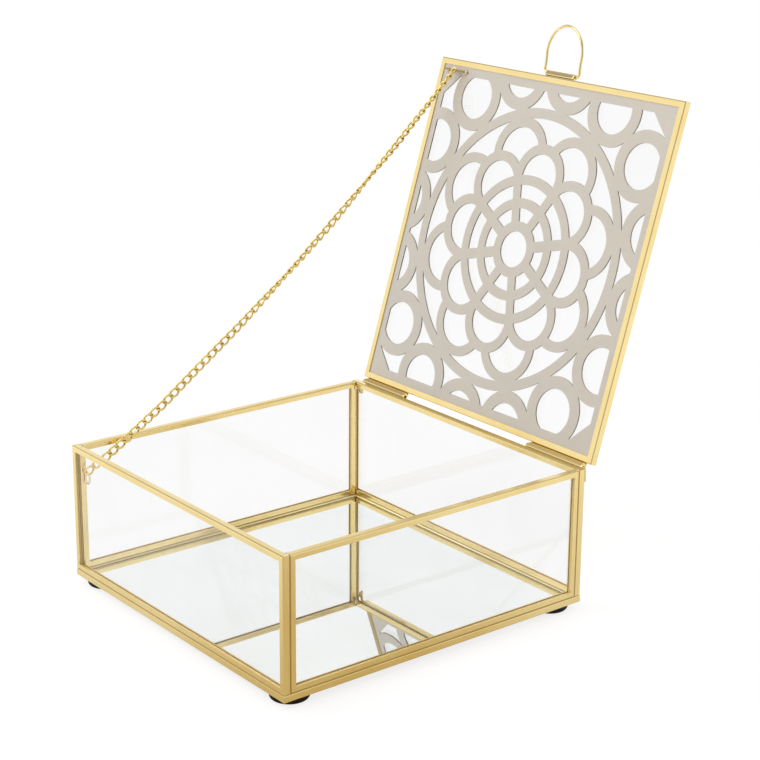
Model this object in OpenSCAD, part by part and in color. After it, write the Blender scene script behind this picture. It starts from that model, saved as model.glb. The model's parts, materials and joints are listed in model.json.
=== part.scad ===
// Square glass trinket box: brass-edged panes, mirror floor, and a hinged glass lid with a pierced
// rosette plate, held open by a chain and lifted by a wire bail.

/* [Box] */
// Width of the box across its side frames
box_w = 150; // [140:1:160]
// Depth of the box from front to back
box_d = 150; // [140:1:160]
// Height of the brass frame, feet left out
box_h = 58.3; // [54:0.1:62]
// Thickness of the tray frame that holds the mirror floor
base_t = 3.2; // [3.2:0.1:4]

/* [Channel] */
// Thickness of the U-shaped brass channel round each pane
channel_t = 3.2; // [3.2:0.1:4]
// Height of the channel's lips
channel_lip = 2.4; // [2.0:0.1:3.0]
// Thickness of the brass sheet
sheet_t = 0.4; // [0.3:0.05:0.5]
// Radius of the channel's two outer edges
channel_r = 0.6; // [0.4:0.1:1.0]
// Thickness of the panes and of the mirror
glass_t = 2.0; // [1.8:0.1:2.2]

/* [Lid] */
// Width of the lid
lid_w = 149.2; // [139:0.1:150]
// Thickness of the lid's channel
lid_t = 3.4; // [3.4:0.1:4]
// Height of the lips on the lid's channel
lid_lip = 2.8; // [2.4:0.1:3.2]
// Gap between the closed lid and the rim
lid_gap = 0.3; // [0.3:0.1:0.6]
// Angle that the lid stands open
lid_open = 107.2; // [100:0.1:110]
// Thickness of the pierced plate under the lid's glass
plate_t = 0.6; // [0.4:0.1:0.8]

/* [Rosette] */
// Turn of the rosette about the lid's centre
rosette_turn = 15.1; // [0:0.1:22]
// Radius of the hole in the middle
hub_r = 7.8; // [7:0.1:8.5]
// Radius of the round openings in the inner lobes
inner_lobe_r = 10.1; // [9.6:0.1:10.6]
// Radius of the round openings in the outer lobes
outer_lobe_r = 11.4; // [11.2:0.1:11.8]
// Width of the metal round a lobe
lobe_rib = 4.4; // [4.2:0.1:4.6]
// Inner radius of the large ring
ring_in_r = 56.8; // [56:0.1:57.1]
// Outer radius of the large ring
ring_out_r = 61.2; // [61:0.1:61.8]

/* [Hinge] */
// Outer radius of the two hinge tubes
knuckle_r = 1.3; // [1.1:0.05:1.35]
// Radius of the hinge wire
pin_r = 0.6; // [0.5:0.05:0.7]
// Radial clearance of a wire in its tube
fit = 0.05; // [0.02:0.01:0.08]
// Distance of the hinge axis behind the box
hinge_back = 1.87; // [1.8:0.01:2.0]
// Depth of the hinge axis below the rim
hinge_drop = 0.62; // [0.55:0.01:0.7]

/* [Bail] */
// Width of the bail between its two legs
bail_w = 21.2; // [19:0.1:24]
// Height of the bail above its tube
bail_h = 20.7; // [19.6:0.1:22]
// Lean of the bail behind upright on the open lid
bail_back = 8.4; // [0:0.1:12]
// Distance of the bail to the left of the lid's middle
bail_left = 0.8; // [0:0.1:2]
// Radius of the bail's wire
bail_r = 0.6; // [0.5:0.05:0.7]
// Outer radius of the bail's tube
bail_tube_r = 1.2; // [1.05:0.05:1.3]
// Length of the bail's tube
bail_tube_len = 17.2; // [15:0.1:18]
// Gap between the bail's tube and the lid's rail, filled with solder
bail_gap = 0.3; // [0:0.1:0.5]

/* [Chain] */
// Distance between the middles of neighbouring links
pitch = 3.995; // [3.99:0.005:4.0]
// Width of a link
link_w = 3.6; // [3.5:0.1:3.6]
// Diameter of the links' wire
link_wire = 0.8; // [0.7:0.05:0.8]

/* [Feet] */
// Diameter of a foot
foot_d = 15.7; // [12:0.1:16]
// Height of a foot
foot_h = 3; // [2.5:0.1:4]
// Distance of a foot's centre from each side of the box
foot_inset = 9; // [8.5:0.5:14]

/* [Hidden] */
$fn = 48;
brass = "#e8d08e";
brass_dark = "#c9a85a";
clear = "#e6eeee88";

// Heights above the resting plane
frame_z = foot_h + base_t;
rim_z = foot_h + box_h;
pane_h = box_h - base_t;
side_w = box_d - 2 * channel_t;
lid_z = rim_z + lid_gap;

// Lid hinge, and the bail's tube on the closed lid, as [y, z] with the box's centre at y = 0
hinge_y = box_d / 2 + hinge_back;
hinge_z = rim_z - hinge_drop;
bail_y = -box_d / 2 - bail_tube_r - bail_gap;
bail_z = lid_z + lid_t + 0.2;

// A point of the closed lid, [y, z], turned to where it is on the open lid
function opened(p) = let (a = -lid_open, y = p[0] - hinge_y, z = p[1] - hinge_z)
    [hinge_y + y * cos(a) - z * sin(a), hinge_z + y * sin(a) + z * cos(a)];

// The origin is under the middle of the whole open object
reach_back = opened([bail_y, bail_z])[0] + bail_h * sin(bail_back) + bail_r;
box_y = (box_d / 2 - reach_back) / 2;

// Hinge tubes: inner end, and length of each
tube_end = 72;
left_tube_len = 29.5;
right_tube_len = 33.5;
pin_stop = 3;

// Chain: the box's eye, the closed lid's eye, and the open curve between them, as [y, z]
link_r = link_wire / 2;
bend_r = link_w / 2 - link_r;
hook = link_wire + 0.1;
link_c = pitch + hook;
first_link = link_c / 2 - hook;
eye_r = 0.4;
eye_box = [-69.9, foot_h + 46.9];
eye_lid = [-69.8, lid_z - 2];
eye_lid_open = opened(eye_lid);
chain_x_box = -69.7;
chain_x_lid = -65.3;
chain_len = 61 * pitch - hook;
chord = norm(eye_lid_open - eye_box);
chord_u = (eye_lid_open - eye_box) / chord;
sag = sqrt(0.375 * (chain_len - chord) * chord);
// Number of links up to each pivot from the box's eye, and the part of the length before it
LINKS = [0, 5, 11, 17, 23, 29, 32, 38, 44, 50, 56, 61];
function before(i) = i == 0 ? 0
    : i == 11 ? 1
    : (LINKS[i] * pitch - (i < 6 ? hook : 0)) / chain_len;
// Place along the chord of a point at part q of the curve's length
function along(q) = q - pow(4 * sag / chord, 2) / 12 * (1 - pow(1 - 2 * q, 3) - 2 * q);
function hang(t) = eye_box + chord * t * chord_u
    + 4 * sag * t * (1 - t) * [chord_u[1], -chord_u[0]];
// Sideways place of the chain, straight up at both ends and slanting between them
SLANT = [0, 0, 0.05, 0.18, 0.36, 0.52, 0.61, 0.77, 0.91, 1, 1, 1];
function pivot(i) = concat([chain_x_box + SLANT[i] * (chain_x_lid - chain_x_box)],
    hang(along(before(i))));

// ---- placing ----

// Puts a shape drawn with the box's centre at y = 0 where it stands
module on_box() {
    translate([0, box_y, 0])
        children();
}

// Puts a shape drawn on the closed lid where it is on the open lid
module on_lid() {
    translate([0, box_y + hinge_y, hinge_z])
        rotate([-lid_open, 0, 0])
            translate([0, -hinge_y, -hinge_z])
                children();
}

// ---- channel frames ----

// Cross-section of the channel: web along y = 0, lips up to y = lip
module channel_profile(t, lip) {
    difference() {
        union() {
            translate([-t / 2, channel_r])
                square([t, lip - channel_r]);
            translate([channel_r - t / 2, 0])
                square([t - 2 * channel_r, channel_r + 0.01]);
            for (side = [-1, 1])
                translate([side * (t / 2 - channel_r), channel_r])
                    circle(channel_r);
        }
        translate([sheet_t - t / 2, sheet_t])
            square([t - 2 * sheet_t, lip]);
    }
}

// A length of channel along X with its web at z = 0, both ends cut at 45 degrees
module channel(len, t, lip) {
    intersection() {
        translate([-len / 2, 0, 0])
            rotate([90, 0, 90])
                linear_extrude(len)
                    channel_profile(t, lip);
        rotate([90, 0, 0])
            translate([0, 0, -t])
                linear_extrude(2 * t)
                    polygon([[-len / 2, 0], [len / 2, 0], [len / 2 - lip, lip], [lip - len / 2, lip]]);
    }
}

// One side of an upright frame of width w and height h, centred on X, standing on z = 0
module frame_side(side, w, h, t, lip) {
    if (side == "bottom")
        channel(w, t, lip);
    if (side == "top")
        translate([0, 0, h])
            rotate([0, 180, 0])
                channel(w, t, lip);
    if (side == "left")
        translate([-w / 2, 0, h / 2])
            rotate([0, 90, 0])
                channel(h, t, lip);
    if (side == "right")
        translate([w / 2, 0, h / 2])
            rotate([0, -90, 0])
                channel(h, t, lip);
}

// A side of one of the four wall frames; facing is 0 for front, 90 right, 180 back and 270 left
module wall(facing) {
    depth = facing % 180 == 0 ? box_d / 2 : box_w / 2;
    on_box()
        rotate([0, 0, facing])
            translate([0, channel_t / 2 - depth, frame_z])
                children();
}

module front_side(side) {
    color(brass)
        wall(0)
            frame_side(side, box_w, pane_h, channel_t, channel_lip);
}

module back_side(side) {
    color(brass)
        wall(180)
            frame_side(side, box_w, pane_h, channel_t, channel_lip);
}

module left_side(side) {
    color(brass_dark)
        wall(270)
            frame_side(side, side_w, pane_h, channel_t, channel_lip);
}

module right_side(side) {
    color(brass_dark)
        wall(90)
            frame_side(side, side_w, pane_h, channel_t, channel_lip);
}

module base_side(side) {
    color(brass)
        on_box()
            translate([0, -box_d / 2, foot_h + base_t / 2])
                rotate([-90, 0, 0])
                    frame_side(side, box_w, box_d, base_t, channel_lip);
}

module lid_side(side) {
    color(brass)
        on_lid()
            translate([0, -box_d / 2, lid_z + lid_t / 2])
                rotate([-90, 0, 0])
                    frame_side(side, lid_w, box_d, lid_t, lid_lip);
}

// ---- panes ----

module pane(w) {
    color(clear)
        translate([-w / 2 + sheet_t, -glass_t / 2, sheet_t])
            cube([w - 2 * sheet_t, glass_t, pane_h - 2 * sheet_t]);
}

module front_glass() {
    wall(0)
        pane(box_w);
}

module back_glass() {
    wall(180)
        pane(box_w);
}

module left_glass() {
    wall(270)
        pane(side_w);
}

module right_glass() {
    wall(90)
        pane(side_w);
}

module mirror_floor() {
    color("#b9c2c4")
        on_box()
            translate([sheet_t - box_w / 2, sheet_t - box_d / 2, foot_h + (base_t - glass_t) / 2])
                cube([box_w - 2 * sheet_t, box_d - 2 * sheet_t, glass_t]);
}

// A sheet that fills the lid's channel between two heights above the lid's inner face
module lid_sheet(low, high) {
    translate([sheet_t - lid_w / 2, sheet_t - box_d / 2, lid_z + low])
        cube([lid_w - 2 * sheet_t, box_d - 2 * sheet_t, high - low]);
}

module lid_glass() {
    color(clear)
        on_lid()
            lid_sheet(sheet_t + plate_t, lid_t - sheet_t);
}

// ---- rosette plate ----

ring_1 = 12.2;
ring_2_in = 17.9;
ring_2_out = 22.2;
ring_3_in = 28;
ring_3_out = 32.3;
spoke_w = 4.5;
row_1_r = 32.3;
row_2_r = 41.8;
outer_row_r = 75.8;
outer_hole_r = 9.6;
outer_rim_r = 15;
field = 68.4;
field_chamfer = 9.1;

module ring_of(count, r, start) {
    for (i = [0:count - 1])
        rotate(start + i * 360 / count)
            translate([r, 0])
                children();
}

// Two rings of windows round the hub, parted by the spokes
module windows() {
    difference() {
        union() {
            difference() {
                circle(ring_2_in);
                circle(ring_1);
            }
            difference() {
                circle(ring_3_in);
                circle(ring_2_out);
            }
        }
        for (a = [0:45:179])
            rotate(a)
                square([2 * ring_3_out, spoke_w], center = true);
    }
}

module lobes() {
    difference() {
        ring_of(8, row_1_r, 22.5)
            circle(inner_lobe_r);
        circle(ring_3_out);
    }
    difference() {
        ring_of(8, row_2_r, 0)
            circle(outer_lobe_r);
        ring_of(8, row_1_r, 22.5)
            circle(inner_lobe_r + lobe_rib);
    }
}

module crescents() {
    difference() {
        circle(ring_in_r);
        ring_of(8, row_1_r, 22.5)
            circle(inner_lobe_r + lobe_rib);
        ring_of(8, row_2_r, 0)
            circle(outer_lobe_r + lobe_rib);
        circle(ring_3_out);
    }
}

// Everything outside the large ring, cut off at the plate's border
module outer_openings() {
    intersection() {
        union() {
            ring_of(16, outer_row_r, 0)
                circle(outer_hole_r);
            difference() {
                circle(1.5 * field);
                circle(ring_out_r);
                ring_of(16, outer_row_r, 0)
                    circle(outer_rim_r);
            }
        }
        rotate(-rosette_turn)
            border();
    }
}

// Square field with cut corners that the openings stay inside
module border() {
    c = field - field_chamfer;
    polygon([[-c, -field], [c, -field], [field, -c], [field, c],
        [c, field], [-c, field], [-field, c], [-field, -c]]);
}

module rosette_plate() {
    color("#cdc6ba")
        on_lid()
            difference() {
                lid_sheet(sheet_t, sheet_t + plate_t);
                translate([0, 0, lid_z])
                    linear_extrude(lid_t)
                        mirror([0, 1])
                            rotate(rosette_turn) {
                                circle(hub_r);
                                windows();
                                lobes();
                                crescents();
                                outer_openings();
                            }
            }
}

// ---- feet ----

// A low rubber button with a bevelled rim, at one corner of the base
module foot(side_x, side_y) {
    r = foot_d / 2;
    color("#1c1c1e")
        on_box()
            translate([side_x * (box_w / 2 - foot_inset), side_y * (box_d / 2 - foot_inset), 0])
                rotate_extrude()
                    polygon([[0, 0], [r - 1.2, 0], [r - 0.4, 0.5], [r, 1.4], [r, foot_h], [0, foot_h]]);
}

// ---- hinge ----

// A tube on the hinge axis from x to x + len, with the solder that holds it to the lid's rail
module hinge_tube(x, len) {
    back = box_d / 2 - hinge_y;
    color(brass_dark)
        on_lid()
            translate([x, hinge_y, hinge_z])
                rotate([90, 0, 90])
                    difference() {
                        union() {
                            cylinder(r = knuckle_r, h = len);
                            linear_extrude(len)
                                polygon([[back, 1.6], [back, 3.0], [0.5, 1.0], [-1.0, 0.3]]);
                        }
                        translate([0, 0, -1])
                            cylinder(r = pin_r + fit, h = len + 2);
                    }
}

// The hinge wire: through the tube, round a bend and down the back post, where solder holds it
module hinge_pin(side, len) {
    leg_x = tube_end + 1.2;
    leg_h = 6;
    color(brass)
        on_box()
            translate([0, hinge_y, hinge_z])
                scale([side, 1, 1]) {
                    translate([tube_end + pin_stop - len, 0, 0])
                        rotate([0, 90, 0])
                            cylinder(r = pin_r, h = leg_x - tube_end - pin_stop + len);
                    translate([leg_x, 0, 0])
                        sphere(pin_r);
                    translate([leg_x, 0, -leg_h])
                        cylinder(r = pin_r, h = leg_h);
                    translate([leg_x - 0.8, -hinge_back, -leg_h - 0.4])
                        cube([1.6, hinge_back, 3.4]);
                }
}

// ---- bail ----

// The tube, with a web of solder between it and the lid's rail
module bail_tube() {
    rail = bail_tube_r + bail_gap;
    color(brass_dark)
        on_lid()
            translate([-bail_left - bail_tube_len / 2, bail_y, bail_z])
                rotate([90, 0, 90])
                    difference() {
                        union() {
                            cylinder(r = bail_tube_r, h = bail_tube_len);
                            linear_extrude(bail_tube_len)
                                polygon([[0, -0.9], [0.9, 0], [rail, -1.4], [rail, -2.6]]);
                        }
                        translate([0, 0, -1])
                            cylinder(r = bail_r + fit, h = bail_tube_len + 2);
                    }
}

// A quarter bend of the bail's wire from +X to +Z, its centre line of the given radius
module bend(radius) {
    translate([0, 0, radius])
        rotate([90, 0, 0])
            rotate([0, 0, -90])
                rotate_extrude(angle = 90)
                    translate([radius, 0])
                        circle(bail_r);
}

// Half of the bail, on the +X side of its middle: a stub in the tube, a bend, a leg, and half of
// the round arch
module bail_half() {
    half = bail_w / 2;
    stub = 4;
    low = 2;
    translate([stub, 0, 0])
        rotate([0, 90, 0])
            cylinder(r = bail_r, h = half - low - stub);
    translate([half - low, 0, 0])
        bend(low);
    translate([half, 0, low])
        cylinder(r = bail_r, h = bail_h - half - low);
    translate([0, 0, bail_h])
        rotate([180, 0, 0])
            bend(half);
}

module bail() {
    color(brass)
        on_lid()
            translate([-bail_left, bail_y, bail_z])
                rotate([lid_open - bail_back, 0, 0]) {
                    bail_half();
                    mirror([1, 0, 0])
                        bail_half();
                }
}

// ---- chain ----

// A square-cornered wire staple in the X-Z plane, legs along X from x = 0, spanning z = -h to 0
module staple(reach, h) {
    for (z = [0, -h])
        translate([0, 0, z]) {
            rotate([0, 90, 0])
                cylinder(r = eye_r, h = reach);
            translate([reach, 0, 0])
                sphere(eye_r);
        }
    translate([reach, 0, -h])
        cylinder(r = eye_r, h = h);
}

// Eye for the chain on the front post of the left frame
module chain_eye_box() {
    post_x = channel_t - box_w / 2;
    color(brass)
        on_box()
            translate([post_x, eye_box[0], eye_box[1]])
                staple(chain_x_box + 1.5 - post_x, 5);
}

// Eye for the chain on the inner face of the lid: a bar along X on two legs
module chain_eye_lid() {
    bar = 7.4;
    lift = lid_z + sheet_t - eye_lid[1];
    color(brass)
        on_lid()
            translate([chain_x_lid - bar / 2, eye_lid[0], eye_lid[1]]) {
                rotate([0, 90, 0])
                    cylinder(r = eye_r, h = bar);
                for (x = [0, bar])
                    translate([x, 0, 0]) {
                        sphere(eye_r);
                        cylinder(r = eye_r, h = lift);
                    }
            }
}

// A half ring of wire round the end of a link, at x = end
module link_end(end) {
    translate([end - bend_r, 0, 0])
        rotate([0, 0, -90])
            rotate_extrude(angle = 180)
                translate([bend_r, 0])
                    circle(link_r);
}

// A link along X, lying flat in the X-Y plane; an open one has no far end
module link(open = false) {
    straight = link_c - 2 * bend_r;
    for (side = [-1, 1])
        translate([-straight / 2, side * bend_r, 0])
            rotate([0, 90, 0])
                cylinder(r = link_r, h = straight);
    rotate([0, 0, 180])
        link_end(link_c / 2);
    if (!open)
        link_end(link_c / 2);
}

// A run of links from pivot a to pivot b. It starts on edge when it hangs on an eye, and flat
// when it hangs on the run before it
module run(a, b, count, on_edge, open = false) {
    from = pivot(a);
    to = pivot(b);
    step = to - from;
    first = on_edge ? first_link : link_c / 2;
    color(brass)
        on_box()
            for (i = [0:count - 1])
                translate(from + step * (first + i * pitch) / norm(step))
                    rotate([0, 0, atan2(step[1], step[0])])
                        rotate([0, -asin(step[2] / norm(step)), 0])
                            rotate([(i % 2 == 0) == on_edge ? 90 : 0, 0, 0])
                                link(open && i == count - 1);
}

module chain_low(i) {
    run(i - 1, i, i == 1 ? 5 : 6, i == 1);
}

// Counted from the lid's eye down
module chain_high(i) {
    run(12 - i, 11 - i, i == 1 ? 5 : i == 6 ? 3 : 6, i == 1, i == 6);
}

front_side("bottom");  // front_rail_bottom
front_side("top");  // front_rail_top
front_side("left");  // front_rail_left
front_side("right");  // front_rail_right
back_side("bottom");  // back_rail_bottom
back_side("top");  // back_rail_top
back_side("right");  // back_rail_left
back_side("left");  // back_rail_right
left_side("bottom");  // left_rail_bottom
left_side("top");  // left_rail_top
left_side("right");  // left_rail_front
left_side("left");  // left_rail_back
right_side("bottom");  // right_rail_bottom
right_side("top");  // right_rail_top
right_side("left");  // right_rail_front
right_side("right");  // right_rail_back
base_side("bottom");  // base_rail_front
base_side("top");  // base_rail_back
base_side("left");  // base_rail_left
base_side("right");  // base_rail_right
lid_side("bottom");  // lid_rail_front
lid_side("top");  // lid_rail_hinge
lid_side("left");  // lid_rail_left
lid_side("right");  // lid_rail_right
front_glass();
back_glass();
left_glass();
right_glass();
mirror_floor();
lid_glass();
rosette_plate();
foot(-1, -1);  // foot_front_left
foot(1, -1);  // foot_front_right
foot(-1, 1);  // foot_back_left
foot(1, 1);  // foot_back_right
hinge_tube(-tube_end, left_tube_len);  // hinge_tube_left
hinge_tube(tube_end - right_tube_len, right_tube_len);  // hinge_tube_right
hinge_pin(-1, left_tube_len);  // hinge_pin_left
hinge_pin(1, right_tube_len);  // hinge_pin_right
bail_tube();
bail();
chain_eye_box();
chain_eye_lid();
chain_low(1);  // chain_low_1
chain_low(2);  // chain_low_2
chain_low(3);  // chain_low_3
chain_low(4);  // chain_low_4
chain_low(5);  // chain_low_5
chain_high(1);  // chain_high_1
chain_high(2);  // chain_high_2
chain_high(3);  // chain_high_3
chain_high(4);  // chain_high_4
chain_high(5);  // chain_high_5
chain_high(6);  // chain_high_6
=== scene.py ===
"""Looks of the square glass trinket box: satin brass channel with soldered corners, clear panes, a
silvered floor, a pierced plate in the open lid, a curb chain and a wire bail. Lengths are in
metres."""

import json
from math import cos, pi, radians, sin

import bpy
import numpy as np
from mathutils import Matrix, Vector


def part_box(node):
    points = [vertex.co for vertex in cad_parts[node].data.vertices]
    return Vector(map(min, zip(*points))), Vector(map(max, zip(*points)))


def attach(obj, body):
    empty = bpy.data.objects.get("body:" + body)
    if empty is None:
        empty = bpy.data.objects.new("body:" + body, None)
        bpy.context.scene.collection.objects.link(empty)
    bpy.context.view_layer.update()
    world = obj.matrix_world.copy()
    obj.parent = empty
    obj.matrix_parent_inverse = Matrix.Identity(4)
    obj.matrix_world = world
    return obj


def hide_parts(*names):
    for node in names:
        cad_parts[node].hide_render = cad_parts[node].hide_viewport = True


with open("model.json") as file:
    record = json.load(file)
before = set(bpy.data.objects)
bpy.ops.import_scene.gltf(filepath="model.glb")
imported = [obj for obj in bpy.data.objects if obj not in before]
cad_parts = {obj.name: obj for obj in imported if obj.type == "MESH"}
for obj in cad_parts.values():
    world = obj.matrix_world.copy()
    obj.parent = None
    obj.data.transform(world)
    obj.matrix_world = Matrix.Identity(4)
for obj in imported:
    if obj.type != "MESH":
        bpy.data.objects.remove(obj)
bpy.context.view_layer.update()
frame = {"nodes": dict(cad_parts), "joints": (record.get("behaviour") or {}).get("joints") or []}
MM = 0.001
RIGHT = np.array([1.0, 0.0, 0.0])


# ---- places taken from the frame ----


def mm(*lengths):
    """Lengths given in millimetres, as an array in metres."""
    return np.array(lengths) * MM


def corners(node):
    """Lowest and highest corner of a CAD node, as arrays."""
    low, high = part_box(node)
    return np.array(low), np.array(high)


joint_at = {j["name"]: np.array(j["pos_m"]) for j in frame["joints"]}
joint_range = {j["name"]: j["range_deg"] for j in frame["joints"]}

front_low, front_high = corners("front_rail_bottom")
back_low, back_high = corners("back_rail_top")
FRONT_Y, BACK_Y = front_low[1], back_high[1]
MID_Y = (FRONT_Y + BACK_Y) / 2
SIDE_X = front_high[0]
RIM_Z = back_high[2]
BASE_Z = corners("base_rail_front")[0][2]
CHANNEL = corners("left_rail_front")[1][0] + SIDE_X
HINGE = joint_at["lid_hinge"]
LID_OPEN = radians(joint_range["lid_hinge"][1])


def opened(y, z):
    """Direction on the open lid of a direction (y, z) on the closed one: a turn about X by minus
    the opening angle."""
    c, s = cos(-LID_OPEN), sin(-LID_OPEN)
    return np.array([0.0, y * c - z * s, y * s + z * c])


LID_OUT = opened(-1, 0)
LID_UP = opened(0, 1)


# ---- camera ----

TURN, RISE, ROLL = radians(51.4638), radians(17.6974), radians(0.4599)
toward = np.array([sin(TURN) * cos(RISE), -cos(TURN) * cos(RISE), sin(RISE)])
level = np.array([cos(TURN), sin(TURN), 0.0])
above = np.cross(toward, level)
eye = np.array([0.600927, MID_Y - 0.450110, BASE_Z + 0.330991])
camera = bpy.data.objects.new("camera", bpy.data.cameras.new("camera"))
camera.data.sensor_width = 36
camera.data.lens = 92.41
camera.data.clip_start = 0.01
rows = np.eye(4)
rows[:3, 0] = cos(ROLL) * level + sin(ROLL) * above
rows[:3, 1] = cos(ROLL) * above - sin(ROLL) * level
rows[:3, 2] = toward
rows[:3, 3] = eye
camera.matrix_world = Matrix(rows.tolist())
bpy.context.scene.collection.objects.link(camera)
bpy.context.scene.camera = camera


# ---- surfaces ----

AROUND = ((0, 0), (1, 0), (1, 1), (0, 1))  # a rectangle's corners in turn: 0 is low, 1 is high


def unit(v):
    """Vectors scaled to length one along their last axis."""
    return v / np.linalg.norm(v, axis=-1, keepdims=True)


def skin(rings, loop=False):
    """Vertices and faces of a closed surface through rings of points, given as an array of ring,
    place on the ring, and xyz. Neighbouring rings are joined by four-sided faces; the first and
    last ring are joined too, or each is closed by a fan about its middle. Faces point outwards:
    they are flipped where the signed volume, a third of the sum of point dot area, is negative."""
    count, around = rings.shape[:2]
    a = np.arange(count if loop else count - 1)[:, None]
    b = np.arange(around)[None, :]
    a2, b2 = (a + 1) % count, (b + 1) % around
    quads = np.stack(
        [a * around + b, a2 * around + b, a2 * around + b2, a * around + b2], -1
    ).reshape(-1, 4)
    points = rings.reshape(-1, 3)
    p = points[quads]
    area = np.cross(p[:, 2] - p[:, 0], p[:, 3] - p[:, 1]) / 2
    middle = points.mean(0)
    volume = ((p.mean(1) - middle) * area).sum()
    fans = []
    if not loop:
        ends = np.stack([rings[0].mean(0), rings[-1].mean(0)])
        first = len(points)
        points = np.concatenate([points, ends])
        s = np.arange(around)
        s2 = (s + 1) % around
        low = np.stack([0 * s + first, s, s2], -1)
        top = (count - 1) * around
        high = np.stack([0 * s + first + 1, top + s2, top + s], -1)
        fans = [low, high]
    faces = [quads] + fans
    if volume < 0:
        faces = [f[:, ::-1] for f in faces]
    return points, [row for f in faces for row in f.tolist()]


def piece(name, shells, body, material, replaces=(), crease=40):
    """One object made of closed shells. It rides on a body and stands for the CAD nodes named.
    Edges that turn by more than the crease, in degrees, stay sharp."""
    points, faces, start = [], [], 0
    for shell_points, shell_faces in shells:
        points.append(shell_points)
        faces += [[start + i for i in face] for face in shell_faces]
        start += len(shell_points)
    mesh = bpy.data.meshes.new(name)
    mesh.from_pydata(np.concatenate(points).tolist(), [], faces)
    mesh.polygons.foreach_set("use_smooth", np.ones(len(mesh.polygons), bool))
    mesh.set_sharp_from_angle(angle=radians(crease))
    mesh.materials.append(material)
    obj = bpy.data.objects.new(name, mesh)
    bpy.context.scene.collection.objects.link(obj)
    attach(obj, body)
    if replaces:
        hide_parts(*replaces)
    return obj


def wire(path, radius, sides=14, loop=False, side=(0.0, 0.0, 1.0)):
    """A round wire along a path: at each point a circle stands square to the path's direction,
    turned so that its first spoke is square to a fixed side vector. Open ends are rounded by
    circles that shrink as a quarter turn's cosine over one radius of length."""
    path = np.asarray(path, float)
    radius = np.full(len(path), float(radius))
    if loop:
        along = unit(np.roll(path, -1, 0) - np.roll(path, 1, 0))
    else:
        along = unit(np.gradient(path, axis=0))
        t = np.linspace(0, 1, 5)[1:] * pi / 2
        start = path[0] - radius[0] * np.sin(t)[::-1, None] * along[0]
        end = path[-1] + radius[-1] * np.sin(t)[:, None] * along[-1]
        shrink = np.maximum(radius[0] * np.cos(t), 0.02 * radius[0])
        path = np.concatenate([start, path, end])
        along = np.concatenate([np.repeat(along[:1], 4, 0), along, np.repeat(along[-1:], 4, 0)])
        radius = np.concatenate([shrink[::-1], radius, shrink])
    across = unit(np.cross(along, np.asarray(side, float)))
    up = np.cross(across, along)
    a = np.linspace(0, 2 * pi, sides, endpoint=False)
    spokes = np.cos(a)[None, :, None] * across[:, None] + np.sin(a)[None, :, None] * up[:, None]
    return skin(path[:, None] + radius[:, None, None] * spokes, loop)


def bent(points, radii, steps=10):
    """A path of straight lengths joined by arcs: at each inner corner the arc touches both lengths
    and has the given radius."""
    points = np.asarray(points, float)
    out = [points[:1]]
    for i, r in enumerate(radii, start=1):
        a, b = unit(points[i - 1] - points[i]), unit(points[i + 1] - points[i])
        half = np.arccos(np.clip(a @ b, -1, 1)) / 2
        centre = points[i] + unit(a + b) * r / sin(half)
        p = points[i] + a * r / np.tan(half) - centre
        q = points[i] + b * r / np.tan(half) - centre
        t = np.linspace(0, 1, steps)[:, None]
        out.append(centre + r * unit(p * (1 - t) + q * t))
    out.append(points[-1:])
    return np.concatenate(out)


def bead(centre, size, out=(0, 0, 1), lie=(1, 0, 0), seed=0.0):
    """A drop of solder: a flattened ball whose radius swells and shrinks by a few per cent with two
    slow waves. out is the way it stands up, and lie the way its first size runs."""
    size = np.asarray(size, float) / 2
    up = unit(np.asarray(out, float))
    first = np.asarray(lie, float)
    first = unit(first - (first @ up) * up)
    second = np.cross(up, first)
    v = np.linspace(0.06, pi - 0.06, 12)[:, None]
    u = np.linspace(0, 2 * pi, 20, endpoint=False)[None, :]
    swell = 1 + 0.05 * np.sin(2 * u + seed) * np.sin(v) + 0.04 * np.sin(3 * u - 2 * v + 1.7 * seed)
    x = size[0] * swell * np.sin(v) * np.cos(u)
    y = size[1] * swell * np.sin(v) * np.sin(u)
    z = size[2] * swell * np.cos(v) * np.ones_like(u)
    rings = x[..., None] * first + y[..., None] * second + z[..., None] * up
    return skin(np.asarray(centre, float) + rings)


def turned(centre, profile, sides=56):
    """A turned shape: the profile's (radius, height) points carried round the vertical axis."""
    radius, height = np.asarray(profile, float)[:, :1], np.asarray(profile, float)[:, 1:]
    a = np.linspace(0, 2 * pi, sides, endpoint=False)
    rings = np.stack([radius * np.cos(a), radius * np.sin(a), np.repeat(height, sides, 1)], -1)
    return skin(rings + np.asarray(centre, float))


def ground_sheet(low, high, arris):
    """A flat rectangular sheet in any plane, with its sharp edges ground off: four rectangles
    stacked through its thin way, the outer two inset by the width of the arris."""
    low, high = np.asarray(low, float), np.asarray(high, float)
    thin = int(np.argmin(high - low))
    a, b = [axis for axis in range(3) if axis != thin]
    inset = np.array([arris, 0, 0, arris])
    depth = [low[thin], low[thin] + arris, high[thin] - arris, high[thin]]
    rings = np.zeros((4, 4, 3))
    for j, (u, v) in enumerate(AROUND):
        rings[:, j, a] = (low, high)[u][a] + inset * (1, -1)[u]
        rings[:, j, b] = (low, high)[v][b] + inset * (1, -1)[v]
        rings[:, j, thin] = depth
    return skin(rings)


def hoop(low, high, inner_low, inner_high):
    """A flat rectangular hoop: the section between an inner and an outer rectangle, carried round
    their four corners. The rectangles share the two faces that lie across their thin way."""
    thin = int(np.argmin(high - low))
    a, b = [axis for axis in range(3) if axis != thin]
    outer, inner = (low, high), (inner_low, inner_high)
    section = [(outer, low), (outer, high), (inner, high), (inner, low)]
    rings = np.zeros((4, 4, 3))
    for i, (u, v) in enumerate(AROUND):
        for j, (edge, face) in enumerate(section):
            rings[i, j, [a, b, thin]] = edge[u][a], edge[v][b], face[thin]
    return skin(rings, loop=True)


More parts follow.
